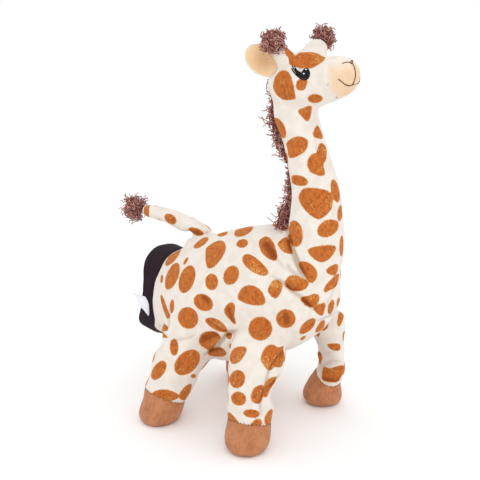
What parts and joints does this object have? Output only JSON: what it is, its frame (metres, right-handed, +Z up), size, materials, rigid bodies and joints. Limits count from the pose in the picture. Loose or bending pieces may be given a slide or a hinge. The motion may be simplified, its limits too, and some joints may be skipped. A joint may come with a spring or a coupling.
{
  "type": "plush giraffe hand puppet",
  "caption": "Standing plush giraffe with a hollow body for a hand, a finger pocket up the neck, stuffed legs, head and tail, and yarn mane and tufts.",
  "frame": {"origin": "on the floor under the middle of the whole puppet", "axes": "+Z up, the giraffe looks along -Y, its left side is +X"},
  "size_m": [0.168, 0.2612, 0.3548],
  "materials": {
    "spotted_plush": "short cream plush printed with rust-orange spots",
    "hoof_cloth": "ribbed tan-brown knit",
    "muzzle_cloth": "pale peach velour",
    "ear_cloth": "peach velour",
    "yarn": "curly brown yarn",
    "black_cloth": "smooth black knit",
    "label_cloth": "white woven ribbon, bare",
    "wadding": "white polyester fibre, inside",
    "thread": "glossy black embroidery thread"
  },
  "bodies": {
    "torso": {"torso_skin": "spotted_plush", "torso_padding": "wadding", "hand_lining": "black_cloth", "sleeve_cuff": "black_cloth", "sleeve_label": "label_cloth"},
    "neck": {"neck_skin": "spotted_plush", "neck_stuffing": "wadding", "finger_lining": "black_cloth", "neck_mane": "yarn"},
    "head": {"head_skin": "spotted_plush", "muzzle_skin": "muzzle_cloth", "head_stuffing": "wadding", "head_mane": "yarn", "horn_left": "spotted_plush", "horn_tuft_left": "yarn", "eye_left": "thread", "horn_right": "spotted_plush", "horn_tuft_right": "yarn", "eye_right": "thread"},
    "ear_left": {"ear_left": "spotted_plush", "ear_lining_left": "ear_cloth"},
    "ear_right": {"ear_right": "spotted_plush", "ear_lining_right": "ear_cloth"},
    "tail": {"tail_skin": "spotted_plush", "tail_stuffing": "wadding", "tail_tuft": "yarn"},
    "leg_front_left": {"leg_skin_front_left": "spotted_plush", "hoof_front_left": "hoof_cloth", "leg_stuffing_front_left": "wadding"},
    "leg_front_right": {"leg_skin_front_right": "spotted_plush", "hoof_front_right": "hoof_cloth", "leg_stuffing_front_right": "wadding"},
    "leg_hind_left": {"leg_skin_hind_left": "spotted_plush", "hoof_hind_left": "hoof_cloth", "leg_stuffing_hind_left": "wadding"},
    "leg_hind_right": {"leg_skin_hind_right": "spotted_plush", "hoof_hind_right": "hoof_cloth", "leg_stuffing_hind_right": "wadding"}
  },
  "joints": [
    {"name": "neck_bend", "type": "hinge", "parent": "torso", "child": "neck", "pos_m": [0, -0.09185, 0.16], "axis": [1, 0, 0], "range_deg": [-8, 18], "stiffness_Nm_per_rad": 0.8},
    {"name": "head_nod", "type": "hinge", "parent": "neck", "child": "head", "pos_m": [0, -0.07085, 0.3085], "axis": [0.9848, -0.1035, 0.1392], "range_deg": [-12, 12], "stiffness_Nm_per_rad": 0.3},
    {"name": "ear_flap_left", "type": "hinge", "parent": "head", "child": "ear_left", "pos_m": [0.02105, -0.06716, 0.32549], "axis": [0.4485, 0.1485, -0.8814], "range_deg": [-20, 3], "stiffness_Nm_per_rad": 0.01},
    {"name": "ear_flap_right", "type": "hinge", "parent": "head", "child": "ear_right", "pos_m": [-0.02369, -0.06246, 0.31917], "axis": [0.4264, -0.5344, 0.7298], "range_deg": [-20, 3], "stiffness_Nm_per_rad": 0.01},
    {"name": "leg_swing_front_left", "type": "hinge", "parent": "torso", "child": "leg_front_left", "pos_m": [0.043, -0.06385, 0.084], "axis": [1, 0, 0], "range_deg": [-15, 15], "stiffness_Nm_per_rad": 0.6},
    {"name": "leg_swing_front_right", "type": "hinge", "parent": "torso", "child": "leg_front_right", "pos_m": [-0.043, -0.06385, 0.084], "axis": [1, 0, 0], "range_deg": [-15, 15], "stiffness_Nm_per_rad": 0.6},
    {"name": "leg_swing_hind_left", "type": "hinge", "parent": "torso", "child": "leg_hind_left", "pos_m": [0.041, 0.01815, 0.075], "axis": [1, 0, 0], "range_deg": [-15, 15], "stiffness_Nm_per_rad": 0.6},
    {"name": "leg_swing_hind_right", "type": "hinge", "parent": "torso", "child": "leg_hind_right", "pos_m": [-0.041, 0.01815, 0.075], "axis": [1, 0, 0], "range_deg": [-15, 15], "stiffness_Nm_per_rad": 0.6},
    {"name": "tail_lift", "type": "hinge", "parent": "torso", "child": "tail", "pos_m": [0, 0.03115, 0.1635], "axis": [1, 0, 0], "range_deg": [-10, 30], "stiffness_Nm_per_rad": 0.1}
  ]
}
